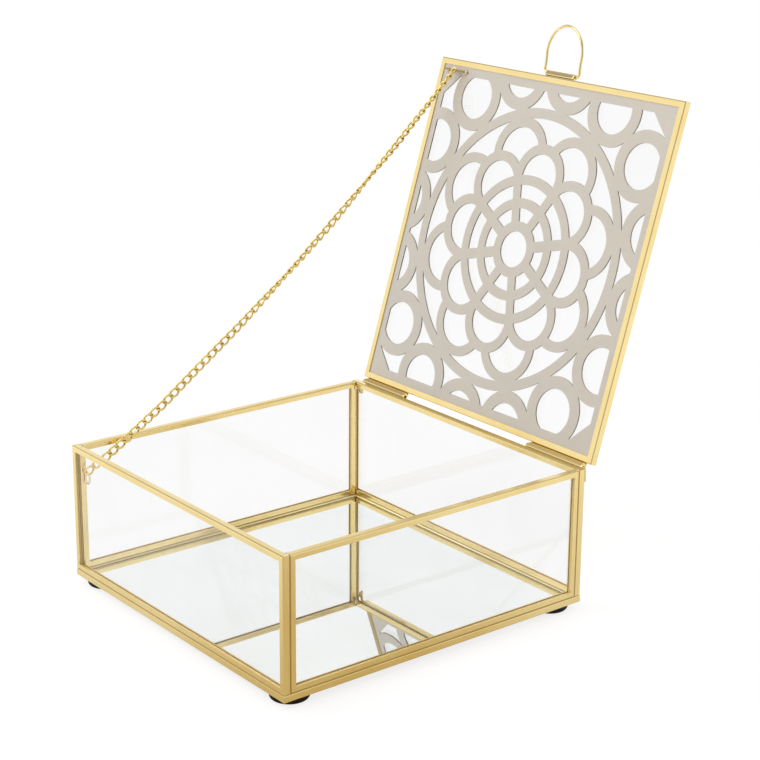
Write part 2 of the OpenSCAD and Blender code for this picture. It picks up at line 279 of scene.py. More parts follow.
def fillet(low, high, section):
    """A strip round the inside of a level rectangle: a section of (inward, up) points carried round
    the four corners, mitred."""
    rings = np.zeros((4, len(section), 3))
    for i, (u, v) in enumerate(AROUND):
        for j, (inward, up) in enumerate(section):
            x = (low, high)[u][0] + inward * (1, -1)[u]
            y = (low, high)[v][1] + inward * (1, -1)[v]
            rings[i, j] = x, y, low[2] + up
    return skin(rings, loop=True)


def soldered_tube(start, length, radius, bore, to_solder, off_rail, reach, face, seed=0.0):
    """A tube along +X with a run of solder on one side. Round the tube the radius is constant,
    plus a bell-shaped rise, 27 degrees wide, up to the reach in the way to_solder; the rise wavers
    by a few per cent along the length, and nothing comes further than the face along off_rail. The
    outline goes out along the tube's outside and back along its bore."""
    a = np.linspace(0, 2 * pi, 40, endpoint=False)[None, :]
    s = np.concatenate([[0, 0.012], np.linspace(0.03, 0.97, 36), [0.988, 1]])[:, None]
    waver = 1 + 0.05 * np.sin(19 * s + seed) + 0.03 * np.sin(43 * s + 2 * seed)
    lift = (reach - radius) * waver * np.exp(-(((a - pi) % (2 * pi) - pi) / radians(27)) ** 2)
    lift = lift * np.minimum(1, np.minimum(s, 1 - s) / 0.03) ** 0.5
    edge = np.where((s == 0) | (s == 1), 0.94, 1.0)
    outer = radius * edge + np.where(lift > 0.02 * radius, lift, 0)
    inner = np.full_like(outer, bore)
    middle = unit(to_solder)
    across = np.cross(RIGHT, middle)
    r = np.concatenate([outer, inner[::-1]])
    x = np.concatenate([s, s[::-1]]) * length
    radial = np.cos(a)[..., None] * middle + np.sin(a)[..., None] * across
    rings = start + x[..., None] * RIGHT + r[..., None] * radial
    depth = (rings - start) @ off_rail
    rings = rings + np.minimum(0, face - depth)[..., None] * off_rail
    return skin(rings, loop=True)


# ---- shader groups ----


def feed(tree, node, inputs):
    """Fills a node's inputs, named or numbered: another node's output is linked, and anything else
    is set as the value."""
    for key, value in dict(inputs).items():
        if isinstance(value, bpy.types.NodeSocket):
            tree.links.new(value, node.inputs[key])
        else:
            node.inputs[key].default_value = value


def add(tree, kind, inputs=(), **settings):
    """A node of a kind with its settings and its inputs."""
    node = tree.nodes.new(kind)
    for key, value in settings.items():
        setattr(node, key, value)
    feed(tree, node, inputs)
    return node


def group(name, inputs, outputs):
    """An empty shader group with named sockets, its input node and its output node."""
    tree = bpy.data.node_groups.new(name, "ShaderNodeTree")
    for label, kind, value in inputs:
        socket = tree.interface.new_socket(label, in_out="INPUT", socket_type="NodeSocket" + kind)
        if value is not None:
            socket.default_value = value
    for label, kind in outputs:
        tree.interface.new_socket(label, in_out="OUTPUT", socket_type="NodeSocket" + kind)
    return tree, tree.nodes.new("NodeGroupInput"), tree.nodes.new("NodeGroupOutput")


def place(tree, effect, inputs):
    """The outputs of a shader group placed in a material."""
    return add(tree, "ShaderNodeGroup", inputs, node_tree=effect).outputs


def mix_colour(tree, share, a, b):
    """Two colours mixed by a share. A colour is another node's output, or red, green and blue."""
    a, b = [c if isinstance(c, bpy.types.NodeSocket) else (*c, 1) for c in (a, b)]
    return add(tree, "ShaderNodeMix", {0: share, 6: a, 7: b}, data_type="RGBA").outputs[2]


def span(tree, value, low, high, to_low=0.0, to_high=1.0):
    """A value brought from one range to another, held at its ends."""
    inputs = {0: value, 1: low, 2: high, 3: to_low, 4: to_high}
    return add(tree, "ShaderNodeMapRange", inputs).outputs[0]


def maths(tree, operation, a, b=0.0):
    """A sum, product or the like of two values."""
    return add(tree, "ShaderNodeMath", {0: a, 1: b}, operation=operation).outputs[0]


def noise(tree, coords, scale, detail=2.0, roughness=0.5):
    """Cloudy noise from 0 to 1 with lumps about one over the scale wide."""
    inputs = {"Vector": coords, "Scale": scale, "Detail": detail, "Roughness": roughness}
    return add(tree, "ShaderNodeTexNoise", inputs).outputs[0]


def bumps(tree, height, strength, depth):
    """A surface's normal, tilted by a height from 0 to 1 that stands for a depth in metres."""
    inputs = {"Height": height, "Strength": strength, "Distance": depth}
    return add(tree, "ShaderNodeBump", inputs).outputs[0]


def drawn_lines():
    """Fine lines left by rolling and drawing: noise on coordinates that are already stretched
    along the metal. Puts out a height and a slow tone."""
    tree, given, out = group(
        "drawn_lines",
        [("Vector", "Vector", None), ("Fineness", "Float", 900.0)],
        [("Height", "Float"), ("Tone", "Float")],
    )
    vector, fineness = given.outputs["Vector"], given.outputs["Fineness"]
    slow = noise(tree, vector, maths(tree, "MULTIPLY", fineness, 0.12))
    feed(tree, out, {"Height": noise(tree, vector, fineness, 4.0, 0.65), "Tone": slow})
    return tree


def tarnish():
    """Cloudy darkening of metal with a few small spots. Puts out a mask from 0, bright, to the
    amount."""
    tree, given, out = group(
        "tarnish",
        [("Vector", "Vector", None), ("Cloud", "Float", 60.0), ("Amount", "Float", 0.3)],
        [("Mask", "Float")],
    )
    vector, cloud = given.outputs["Vector"], given.outputs["Cloud"]
    clouds = span(tree, noise(tree, vector, cloud, 5.0, 0.6), 0.42, 0.72)
    spots = noise(tree, vector, maths(tree, "MULTIPLY", cloud, 14.0))
    both = maths(tree, "MAXIMUM", clouds, span(tree, spots, 0.66, 0.74, 0.0, 0.6))
    feed(tree, out, {"Mask": maths(tree, "MULTIPLY", both, given.outputs["Amount"])})
    return tree


def groove_shade():
    """Painted shade for hollows and corners: how much nearby surface closes in on a point, by
    ambient occlusion. Puts out a mask from 0, open, to 1, deep in a groove."""
    tree, given, out = group("groove_shade", [("Reach", "Float", 0.001)], [("Mask", "Float")])
    reach = given.outputs["Reach"]
    shade = add(tree, "ShaderNodeAmbientOcclusion", {"Distance": reach}, samples=8)
    feed(tree, out, {"Mask": span(tree, shade.outputs["AO"], 0.85, 0.3)})
    return tree


DRAWN, TARNISH, GROOVE_SHADE = drawn_lines(), tarnish(), groove_shade()


def material(name):
    """A new material with its tree and its surface shader."""
    made = bpy.data.materials.new(name)
    made.use_nodes = True
    tree = made.node_tree
    return made, tree, tree.nodes["Principled BSDF"]


def position(tree):
    """The place on the box, in metres."""
    return add(tree, "ShaderNodeTexCoord").outputs["Object"]


def stretched(tree, along, tilt=0.0):
    """The place on the box turned about X by tilt, and the same shrunk along one axis, so that
    noise draws out into lines that way."""
    turn = {"Vector": position(tree), "Rotation": (tilt, 0, 0)}
    plain = add(tree, "ShaderNodeMapping", turn).outputs[0]
    scale = tuple(0.025 if axis == along else 1.0 for axis in range(3))
    lines = add(tree, "ShaderNodeMapping", {"Vector": plain, "Scale": scale}).outputs[0]
    return plain, lines


# ---- materials ----


def brass(
    name,
    along,
    tilt=0.0,
    bright=(0.96, 0.775, 0.37),
    dull=(0.86, 0.62, 0.23),
    groove_shade_colour=(0.4, 0.235, 0.06),
    rough=0.15,
    reach=0.9 * MM,
    groove_shade_amount=0.8,
    cloud=45.0,
):
    """Lacquered brass: a pale gold with cloudy deeper patches, lines along the metal, and painted
    shade, a brown in the hollows. along is the axis that the metal was drawn along, and tilt its
    lean about X."""
    patchy = 0.42
    made, tree, shader = material(name)
    plain, lines = stretched(tree, along, tilt)
    drawn = place(tree, DRAWN, {"Vector": lines, "Fineness": 1400.0})
    worn = place(tree, TARNISH, {"Vector": plain, "Cloud": cloud, "Amount": patchy})["Mask"]
    deep = place(tree, GROOVE_SHADE, {"Reach": reach})["Mask"]
    tone = mix_colour(tree, worn, bright, dull)
    tone = mix_colour(tree, span(tree, drawn["Tone"], 0.4, 0.7, 0.0, 0.16), tone, dull)
    # Painted shade: the brown is mixed in by the hollow mask.
    tone = mix_colour(tree, maths(tree, "MULTIPLY", deep, groove_shade_amount), tone, groove_shade_colour)
    gloss = span(tree, worn, 0.0, patchy, rough, rough + 0.1)
    finish = {
        "Base Color": tone,
        "Roughness": maths(tree, "ADD", gloss, maths(tree, "MULTIPLY", deep, 0.18)),
        "Normal": bumps(tree, drawn["Height"], 0.16, 0.04 * MM),
        "Metallic": 1.0,
        "Coat Weight": 0.12,
        "Coat Roughness": 0.08,
    }
    feed(tree, shader, finish)
    return made


def solder_metal():
    """Plated solder: paler and rosier than the channel, with a wrinkled skin and painted shade in
    its hollows.
    """
    made, tree, shader = material("solder")
    coords = position(tree)
    worn = place(tree, TARNISH, {"Vector": coords, "Cloud": 300.0, "Amount": 0.6})["Mask"]
    deep = place(tree, GROOVE_SHADE, {"Reach": 0.6 * MM})["Mask"]
    tone = mix_colour(tree, worn, (0.88, 0.72, 0.52), (0.62, 0.43, 0.25))
    finish = {
        # Painted shade: dark brown mixed in at half strength where nearby surface closes in.
        "Base Color": mix_colour(tree, maths(tree, "MULTIPLY", deep, 0.5), tone, (0.3, 0.18, 0.09)),
        "Roughness": span(tree, worn, 0.0, 0.6, 0.24, 0.42),
        "Normal": bumps(tree, noise(tree, coords, 1500.0, 3.0), 0.3, 0.1 * MM),
        "Metallic": 1.0,
    }
    feed(tree, shader, finish)
    return made


def clear_glass(name, tint):
    """Clear float glass that lets the lamps through, with a faint film of dust and the long slow
    waves of rolled sheet."""
    made, tree, shader = material(name)
    coords = position(tree)
    dust = span(tree, noise(tree, coords, 26.0, 6.0), 0.45, 0.75)
    finish = {
        "Base Color": mix_colour(tree, dust, tint, tuple(0.985 * t for t in tint)),
        "Normal": bumps(tree, noise(tree, coords, 14.0, 0.0), 0.04, 0.2 * MM),
        "Transmission Weight": 1.0,
        "Roughness": 0.0,
        "IOR": 1.38,
    }
    feed(tree, shader, finish)
    shadow = add(tree, "ShaderNodeLightPath").outputs["Is Shadow Ray"]
    see = add(tree, "ShaderNodeBsdfTransparent", {"Color": (*tint, 1)}).outputs[0]
    both = add(tree, "ShaderNodeMixShader", {0: shadow, 1: shader.outputs[0], 2: see}).outputs[0]
    feed(tree, tree.nodes["Material Output"], {"Surface": both})
    return made


def silver():
    """Silver behind glass, with a trace of cloudiness."""
    made, tree, shader = material("silvering")
    worn = place(tree, TARNISH, {"Vector": position(tree), "Cloud": 40.0, "Amount": 0.5})["Mask"]
    finish = {
        "Base Color": mix_colour(tree, worn, (0.988, 0.995, 0.992), (0.97, 0.98, 0.975)),
        "Roughness": span(tree, worn, 0.0, 0.5, 0.004, 0.02),
        "Metallic": 1.0,
    }
    feed(tree, shader, finish)
    return made


def backing_paint():
    """Grey paint on the back of the mirror, rolled on and slightly pebbled."""
    made, tree, shader = material("mirror_backing")
    coords = position(tree)
    worn = place(tree, TARNISH, {"Vector": coords, "Cloud": 90.0, "Amount": 0.6})["Mask"]
    finish = {
        "Base Color": mix_colour(tree, worn, (0.2, 0.21, 0.215), (0.14, 0.145, 0.15)),
        "Normal": bumps(tree, noise(tree, coords, 1800.0), 0.35, 0.1 * MM),
        "Roughness": 0.55,
    }
    feed(tree, shader, finish)
    return made


def plate_enamel():
    """Satin grey-beige enamel on thin sheet, with an even fine grain, a trace of cloud, and dark
    scorched walls where the openings were cut. The walls are told from the faces by the angle
    between the surface and the lid."""
    made, tree, shader = material("plate_enamel")
    coords = position(tree)
    worn = place(tree, TARNISH, {"Vector": coords, "Cloud": 28.0, "Amount": 0.5})["Mask"]
    tone = mix_colour(tree, worn, (0.665, 0.615, 0.54), (0.61, 0.562, 0.49))
    normal = add(tree, "ShaderNodeTexCoord").outputs["Normal"]
    facing = add(
        tree, "ShaderNodeVectorMath", {0: normal, 1: tuple(LID_UP)}, operation="DOT_PRODUCT"
    ).outputs["Value"]
    wall = span(tree, maths(tree, "ABSOLUTE", facing), 0.7, 0.4)
    scorch = span(tree, noise(tree, coords, 160.0, 3.0), 0.35, 0.65)
    burnt = mix_colour(tree, scorch, (0.16, 0.11, 0.075), (0.36, 0.29, 0.215))
    grain = noise(tree, coords, 2600.0)
    finish = {
        "Base Color": mix_colour(tree, wall, tone, burnt),
        "Roughness": span(tree, grain, 0.3, 0.7, 0.36, 0.48),
        "Normal": bumps(tree, grain, 0.12, 0.05 * MM),
        "Metallic": 0.35,
    }
    feed(tree, shader, finish)
    return made


def rubber():
    """Black moulded rubber with a matt skin, grey where it is dusty."""
    made, tree, shader = material("foot_rubber")
    coords = position(tree)
    dust = noise(tree, coords, 220.0, 5.0)
    dusty = span(tree, dust, 0.5, 0.8, 0.0, 0.5)
    finish = {
        "Base Color": mix_colour(tree, dusty, (0.004, 0.004, 0.004), (0.02, 0.018, 0.016)),
        "Roughness": span(tree, dust, 0.3, 0.7, 0.5, 0.7),
        "Normal": bumps(tree, noise(tree, coords, 3000.0, 1.0), 0.25, 0.06 * MM),
        "Specular IOR Level": 0.22,
    }
    feed(tree, shader, finish)
    return made


def bedding_cement(name, pale, deep):
    """Cement that holds glass in the channel, smeared and uneven between two tones."""
    made, tree, shader = material(name)
    smear = noise(tree, position(tree), 160.0, 4.0)
    finish = {
        "Base Color": mix_colour(tree, smear, pale, deep),
        "Roughness": span(tree, smear, 0.3, 0.7, 0.35, 0.6),
        "Normal": bumps(tree, smear, 0.3, 0.1 * MM),
    }
    feed(tree, shader, finish)
    return made


BRASS_X = brass("channel_brass_across", 0)
BRASS_Y = brass("channel_brass_deep", 1)
BRASS_Z = brass("channel_brass_upright", 2)
BRASS_LID = brass("lid_brass_deep", 1, tilt=LID_OPEN)
BRASS_WIRE = brass("wire_brass", 0, bright=(0.92, 0.74, 0.37), dull=(0.7, 0.48, 0.18), rough=0.16)
# Dark brass for the rods that paint shade along the frame seams; the lid's chain bar is made of it
# too.
BRASS_SEAM = brass(
    "seam_brass", 0, bright=(0.52, 0.35, 0.12), dull=(0.36, 0.22, 0.07), rough=0.3, groove_shade_amount=0.5
)
BRASS_FILLET = brass(
    "fillet_brass", 0, bright=(1.0, 0.87, 0.52), dull=(0.96, 0.79, 0.42), rough=0.3, groove_shade_amount=0.05
)
# Chain brass with heavy painted shade: a deep brown filling the links' hollows.
BRASS_CHAIN = brass(
    "chain_brass",
    1,
    bright=(0.95, 0.73, 0.26),
    dull=(0.74, 0.5, 0.13),
    groove_shade_colour=(0.24, 0.145, 0.03),
    rough=0.12,
    reach=1.1 * MM,
    groove_shade_amount=0.95,
    cloud=140.0,
)
SOLDER = solder_metal()
GLASS = clear_glass("pane_glass", (0.992, 0.995, 0.994))
MIRROR_GLASS = clear_glass("mirror_glass", (0.99, 0.998, 0.995))
SILVER, BACKING, ENAMEL, RUBBER = silver(), backing_paint(), plate_enamel(), rubber()
PANE_CEMENT = bedding_cement("pane_cement", (1.0, 0.8, 0.36), (0.92, 0.66, 0.23))
FLOOR_CEMENT = bedding_cement("floor_cement", (0.96, 0.95, 0.86), (0.9, 0.87, 0.72))


# ---- CAD nodes that stay: channel rails, lid glass and plate ----


def finish_node(name, made):
    """Gives a CAD node its material."""
    for slot in frame["nodes"][name].material_slots:
        slot.material = made


for node in frame["nodes"]:
    if "_rail_" in node:
        wall, _, side = node.split("_")
        if side in ("left", "right") and wall in ("front", "back"):
            finish_node(node, BRASS_Z)
        elif side in ("front", "back") and wall in ("left", "right"):
            finish_node(node, BRASS_Z)
        elif side in ("left", "right") or wall in ("left", "right"):
            finish_node(node, BRASS_LID if wall == "lid" else BRASS_Y)
        else:
            finish_node(node, BRASS_X)
    elif node.endswith("_glass"):
        finish_node(node, GLASS)
finish_node("rosette_plate", ENAMEL)


# ---- panes and their bedding ----

LAP = 0.45 * MM  # how far a pane reaches behind the channel's lips
BITE = 0.03 * MM  # how far the bedding overlaps the glass
PROUD = 0.12 * MM  # how far the bedding stands out from the pane on both faces

for wall, ends in (
    ("front", ("left", "right")),
    ("back", ("left", "right")),
    ("left", ("front", "back")),
    ("right", ("front", "back")),
):
    low, high = corners(wall + "_glass")
    thin = int(np.argmin(high - low))
    run = 1 - thin
    open_low, open_high = low.copy(), high.copy()
    open_low[run] = corners(f"{wall}_rail_{ends[0]}")[1][run] - LAP
    open_high[run] = corners(f"{wall}_rail_{ends[1]}")[0][run] + LAP
    open_low[2] = corners(f"{wall}_rail_bottom")[1][2] - LAP
    open_high[2] = corners(f"{wall}_rail_top")[0][2] + LAP
    pane = ground_sheet(open_low, open_high, 0.15 * MM)
    piece(wall + "_pane", [pane], "box", GLASS, [wall + "_glass"])
    fat = PROUD * np.eye(3)[thin]
    bed = hoop(low - fat, high + fat, open_low + BITE, open_high - BITE)
    piece(wall + "_cement", [bed], "box", PANE_CEMENT)


# ---- mirror floor ----

TUCK = 0.35 * MM  # how far the mirror's clear sheet goes under the wall frames
SHEET = 0.4 * MM  # thickness of clear glass over the silver
SKIM = 0.01 * MM  # gap that keeps two faces from lying in one plane

inside_low = [corners("left_rail_bottom")[1][0], corners("front_rail_bottom")[1][1]]
inside_high = [corners("right_rail_bottom")[0][0], corners("back_rail_bottom")[0][1]]
inside = np.array([inside_low, inside_high])
low, high = corners("mirror_floor")
silver_up = high[2] - low[2] - SHEET
sheet_low = np.array([*(inside[0] - TUCK), low[2] + silver_up + SKIM])
sheet_high = np.array([*(inside[1] + TUCK), high[2]])
sheet = ground_sheet(sheet_low, sheet_high, 0.1 * MM)
piece("mirror_sheet", [sheet], "box", MIRROR_GLASS, ["mirror_floor"])

bed_low = np.array([low[0], low[1], sheet_low[2]])
bed_high = high - [0, 0, SKIM]
grip = np.array([BITE, BITE, 0])
bed = hoop(bed_low, bed_high, sheet_low + grip, sheet_high - grip)
piece("mirror_bed", [bed], "box", FLOOR_CEMENT)

board = ground_sheet(low, [high[0], high[1], low[2] + silver_up], 0.05 * MM)
back = piece("mirror_back", [board], "box", BACKING, ["mirror_floor"])
back.data.materials.append(SILVER)
normals = np.zeros(len(back.data.polygons) * 3)
back.data.polygons.foreach_get("normal", normals)
back.data.polygons.foreach_set("material_index", (normals[2::3] > 0.9).astype(np.int32))

lip, cove = 0.7 * MM, 0.55 * MM
hollow = [(cove, 0.0), (0.62 * cove, 0.2 * cove), (0.2 * cove, 0.6 * cove), (0.0, cove)]
rest_z = high[2] + 2 * SKIM
strip = fillet([*inside[0], rest_z], [*inside[1], rest_z], [(-lip, 0.0), *hollow, (-lip, cove)])
piece("floor_seam", [strip], "box", BRASS_FILLET)


# ---- feet ----

for name in ("foot_front_left", "foot_front_right", "foot_back_left", "foot_back_right"):
    low, high = corners(name)
    r, h = (high[0] - low[0]) / 2, high[2] - low[2]
    heel, crown = 1.3 * MM, 0.5 * MM
    t = np.linspace(0, pi / 2, 9)[:, None]
    under = np.hstack([r - heel + heel * np.sin(t), 1.5 * MM * (1 - np.cos(t))])
    shoulder = np.hstack([r - crown + crown * np.cos(t), h - crown + crown * np.sin(t)])
    sole = [[[0.3 * r, 0.0], [r - 2.4 * MM, 0.0]], under, [[r, 0.74 * h]], shoulder, [[0.3 * r, h]]]
    middle = [(low[0] + high[0]) / 2, (low[1] + high[1]) / 2, low[2]]
    button = turned(middle, np.concatenate(sole))
    piece(name + "_button", [button], "box", RUBBER, [name])


# ---- solder, and dark rods that paint the shade along the seams where the frames meet ----

beads = []
posts = [(-1, FRONT_Y, 1), (1, FRONT_Y, 1), (-1, BACK_Y, -1), (1, BACK_Y, -1)]
for i, (sx, end, sy) in enumerate(posts):
    seam = end + sy * CHANNEL
    rim = [sx * (SIDE_X - 0.55 * CHANNEL), seam, RIM_Z - 0.1 * MM]
    outer = [sx * (SIDE_X - 0.75 * MM), seam + sy * 0.1 * MM, BASE_Z + 3.3 * MM]
    inner = [sx * (SIDE_X - CHANNEL - 0.3 * MM), seam + sy * 0.3 * MM, RIM_Z - 2.6 * MM]
    beads.append(bead(rim, mm(2.6, 1.7, 0.7), seed=i))
    beads.append(bead(outer, mm(2.2, 1.1, 0.9), out=[sx, 0, 0], lie=[0, 0, 1], seed=i + 2.2))
    beads.append(bead(inner, mm(1.4, 1.4, 2.2), seed=i + 4.1))
for sx in (-1, 1):
    corner = [sx * (SIDE_X - 0.5 * MM), FRONT_Y + 0.55 * MM, BASE_Z + 1.5 * MM]
    beads.append(bead(corner, mm(2.6, 0.9, 0.9), out=[sx, -1, 0], lie=[0, 0, 1], seed=sx + 7.3))
piece("frame_solder", beads, "box", SOLDER)

# Dark brass rods sunk along the seams between the frames paint the shade that falls there.
SUNK = 0.36 * MM  # how far a seam's middle lies below the faces it parts
SHORT = 0.9 * MM  # how far a level seam stops before the corner
seam_z = corners("front_rail_bottom")[0][2]
seam_shades = []
for sx in (-1, 1):
    x = sx * (SIDE_X - SUNK)
    for y in (FRONT_Y + CHANNEL, BACK_Y - CHANNEL):
        upright = np.linspace([x, y, seam_z], [x, y, RIM_Z - 0.8 * MM], 24)
        seam_shades.append(wire(upright, 0.42 * MM, side=[0, 1, 0]))
    level_seam = np.linspace([x, FRONT_Y + SHORT, seam_z], [x, BACK_Y - SHORT, seam_z], 24)
    seam_shades.append(wire(level_seam, 0.4 * MM))
for y in (FRONT_Y + SUNK, BACK_Y - SUNK):
    level_seam = np.linspace([-SIDE_X + SHORT, y, seam_z], [SIDE_X - SHORT, y, seam_z], 24)
    seam_shades.append(wire(level_seam, 0.4 * MM))
piece("frame_seam_shade", seam_shades, "box", BRASS_SEAM)


# ---- hinge ----

BORE = 0.66 * MM
ROD = 0.6 * MM  # radius of the hinge wires and of the bail's wire

for side, sign in (("left", -1), ("right", 1)):
    low, high = corners("hinge_tube_" + side)
    start = np.array([low[0], HINGE[1], HINGE[2]])
    to_solder = opened(-1.87, 2.25)
    tube = soldered_tube(
        start, high[0] - low[0], 1.3 * MM, BORE, to_solder, LID_OUT, 2.95 * MM, 1.86 * MM, seed=sign
    )
    name = "hinge_tube_" + side
    piece(name + "_soldered", [tube], "lid", BRASS_WIRE, [name])

    low, high = corners("hinge_pin_" + side)
    leg_x = sign * (abs(high[0] if sign > 0 else low[0]) - 1.2 * MM)
    inner_x = (low[0] if sign > 0 else high[0]) + sign * 0.6 * MM
    turns = [[inner_x, *HINGE[1:]], [leg_x, *HINGE[1:]], [leg_x, HINGE[1], low[2] + 0.9 * MM]]
    pin = wire(bent(turns, [1.5 * MM]), ROD, side=[0, 1, 0])
    piece("hinge_wire_" + side, [pin], "box", BRASS_WIRE, ["hinge_pin_" + side])
    held = [leg_x, HINGE[1] - 1.0 * MM, low[2] + 2.2 * MM]
    drop = bead(held, mm(1.3, 3.4, 1.2), out=[0, 1, 0], lie=[1, 0, 0], seed=3 + sign)
    piece("hinge_solder_" + side, [drop], "box", SOLDER)


# ---- bail ----

bail_axis = joint_at["bail_hinge"]
low, high = corners("bail")
half = (high[0] - low[0]) / 2 - ROD
mid_x = (high[0] + low[0]) / 2
lean = radians(8.4)
tall, leg, foot_bend, stub = 20.7 * MM, 8.6 * MM, 2 * MM, 4 * MM
bail_up = np.array([0.0, sin(lean), cos(lean)])
t = np.linspace(0, pi, 41)[:, None]
arch = np.hstack([half * np.cos(t), leg + (tall - leg) * np.sin(t)])
curl = np.linspace(-pi / 2, 0, 9)[:, None]
curl_x = half - foot_bend + foot_bend * np.cos(curl)
right_curl = np.hstack([curl_x, foot_bend + foot_bend * np.sin(curl)])
leg_up = np.linspace(2.6 * MM, leg - 0.4 * MM, 6)[:, None]
bow = 0.25 * MM * np.sin(pi * leg_up / leg)
right_leg = np.hstack([half - bow, leg_up])
right_side = np.concatenate([[[stub, 0.0]], right_curl, right_leg])
left_side = (right_side * [[-1.0, 1.0]])[::-1]
outline = np.concatenate([right_side, arch, left_side])
bail_path = bail_axis + [mid_x, 0, 0] + outline[:, :1] * RIGHT + outline[:, 1:] * bail_up
bail = wire(bail_path, ROD, sides=16, side=np.cross(RIGHT, bail_up))
piece("bail_wire", [bail], "bail", BRASS_WIRE, ["bail"])

low, high = corners("bail_tube")
start = np.array([low[0], bail_axis[1], bail_axis[2]])
to_solder, off_rail = opened(1.4, -1.75), opened(1, 0)
tube = soldered_tube(
    start, high[0] - low[0], 1.2 * MM, BORE, to_solder, off_rail, 1.75 * MM, 1.5 * MM, seed=0.6
)
piece("bail_tube_soldered", [tube], "lid", BRASS_WIRE, ["bail_tube"])


# ---- chain ----

PITCH = 3.995 * MM  # from one link to the next
LINK = 4.895 * MM  # a link's length along the middle of its wire
LINK_HALF = 1.4 * MM  # half its width, likewise
LINK_WIRE = 0.48 * MM  # its wire's radius
HOOK = 0.9 * MM  # how far the first link reaches past the eye's pivot


def curb_link(around=30, sides=10):
    """One link of curb chain along x, about its middle: an oval of round wire whose plane turns by
    90 degrees from one end to the other, so that each link lies through the next at a right
    angle."""
    t = np.linspace(0, 2 * pi, around, endpoint=False)
    c, s = np.cos(t), np.sin(t)
    x = LINK / 2 * np.sign(c) * np.abs(c) ** 0.9
    y = LINK_HALF * np.sign(s) * np.abs(s) ** 0.9
    turn = radians(45) * 2 * x / LINK
    path = np.stack([x, y * np.cos(turn), y * np.sin(turn)], -1)
    return wire(path, LINK_WIRE, sides=sides, loop=True)


LINK_POINTS, LINK_FACES = curb_link()


def links_from(start, along, up, first, numbers):
    """Curb links from a pivot, one pitch apart along a direction. A link's number counts from the
    box's eye and sets how far its flat side is turned away from the front, and how far it hangs
    off the line between the eyes: the chain is slack enough to twist and sway slowly."""
    twist_at = [0, 3, 16, 24, 30, 38, 41, 44, 47, 50, 53, 57, 61]
    twist_by = [30, 8, 8, 45, 85, 45, 60, 92, 120, 134, 122, 112, 105]
    twist = np.radians(np.interp(numbers, twist_at, twist_by))
    aside = MM * np.interp(numbers, [0, 5, 10, 16, 45, 52, 60], [0, 0.8, 1.3, 0.2, 0, 1.1, 2.9])
    flat = unit(np.cross(toward, up))
    deep = np.cross(up, flat)
    wide = np.cos(twist)[:, None] * flat + np.sin(twist)[:, None] * deep
    thick = np.cross(up, wide)
    centres = start + along * (first + PITCH * np.arange(len(numbers)))[:, None]
    centres = centres + aside[:, None] * RIGHT
    turned_links = (
        LINK_POINTS[None, :, :1] * up
        + LINK_POINTS[None, :, 1:2] * wide[:, None]
        + LINK_POINTS[None, :, 2:] * thick[:, None]
    )
    return [(centre + link, LINK_FACES) for centre, link in zip(centres, turned_links)]


def half_chain(side, pivots, meeting, counts, number, step):
    """The runs of one half of the chain, from its eye to where the halves meet. Each run goes from
    its own pivot to the next; the links are numbered on from a number by a step of 1 or -1."""
    ends = [*pivots[1:], meeting]
    for i, (start, end, count) in enumerate(zip(pivots, ends, counts)):
        way = unit(end - start)
        first = LINK / 2 - (HOOK if i == 0 else 0)
        links = links_from(start, way, step * way, first, number + step * np.arange(count))
        name = f"chain_{side}_{i + 1}"
        piece(name + "_links", links, name, BRASS_CHAIN, [name], crease=80)
        number += step * count


# The last runs are 6 and 3 pitches long: they meet at the lower corner of that triangle.
lower = [joint_at[f"chain_low_{i}_turn"] for i in range(1, 6)]
upper = [joint_at[f"chain_high_{i}_turn"] for i in range(1, 7)]
gap = upper[-1] - lower[-1]
far, near, whole = 6 * PITCH, 3 * PITCH, np.linalg.norm(gap)
part = (far**2 - near**2 + whole**2) / (2 * whole)
down = unit(np.cross(RIGHT, gap))
down = -down if down[2] > 0 else down
meeting = lower[-1] + gap / whole * part + down * np.sqrt(max(far**2 - part**2, 0))
half_chain("low", lower, meeting, [5, 6, 6, 6, 6], 0, 1)
half_chain("high", upper, meeting, [5, 6, 6, 6, 6, 3], 60, -1)


# ---- eyes of the chain ----

EYE_WIRE = 0.4 * MM

low, high = corners("chain_eye_box")
t = np.linspace(0, 2 * pi, 36, endpoint=False)
ring_w, ring_h = (high[0] - low[0]) / 2 - EYE_WIRE, (high[2] - low[2]) / 2 - EYE_WIRE
ring_x = (high[0] + low[0]) / 2 + ring_w * np.sign(np.cos(t)) * np.abs(np.cos(t)) ** 0.8
ring_z = (high[2] + low[2]) / 2 + ring_h * np.sign(np.sin(t)) * np.abs(np.sin(t)) ** 0.7
ring_y = (low[1] + high[1]) / 2
ring_path = np.stack([ring_x, np.full_like(t, ring_y), ring_z], -1)
ring = wire(ring_path, EYE_WIRE, sides=12, loop=True, side=[0, 1, 0])
piece("chain_ring_box", [ring], "box", BRASS_WIRE, ["chain_eye_box"])
post_x = -SIDE_X + CHANNEL + 0.1 * MM
dabs = [
    bead([post_x, ring_y, z], mm(1.3, 1.5, 1.8), seed=z * 900)
    for z in (low[2] + 0.9 * MM, high[2] - 0.9 * MM)
]
piece("chain_ring_solder", dabs, "box", SOLDER)

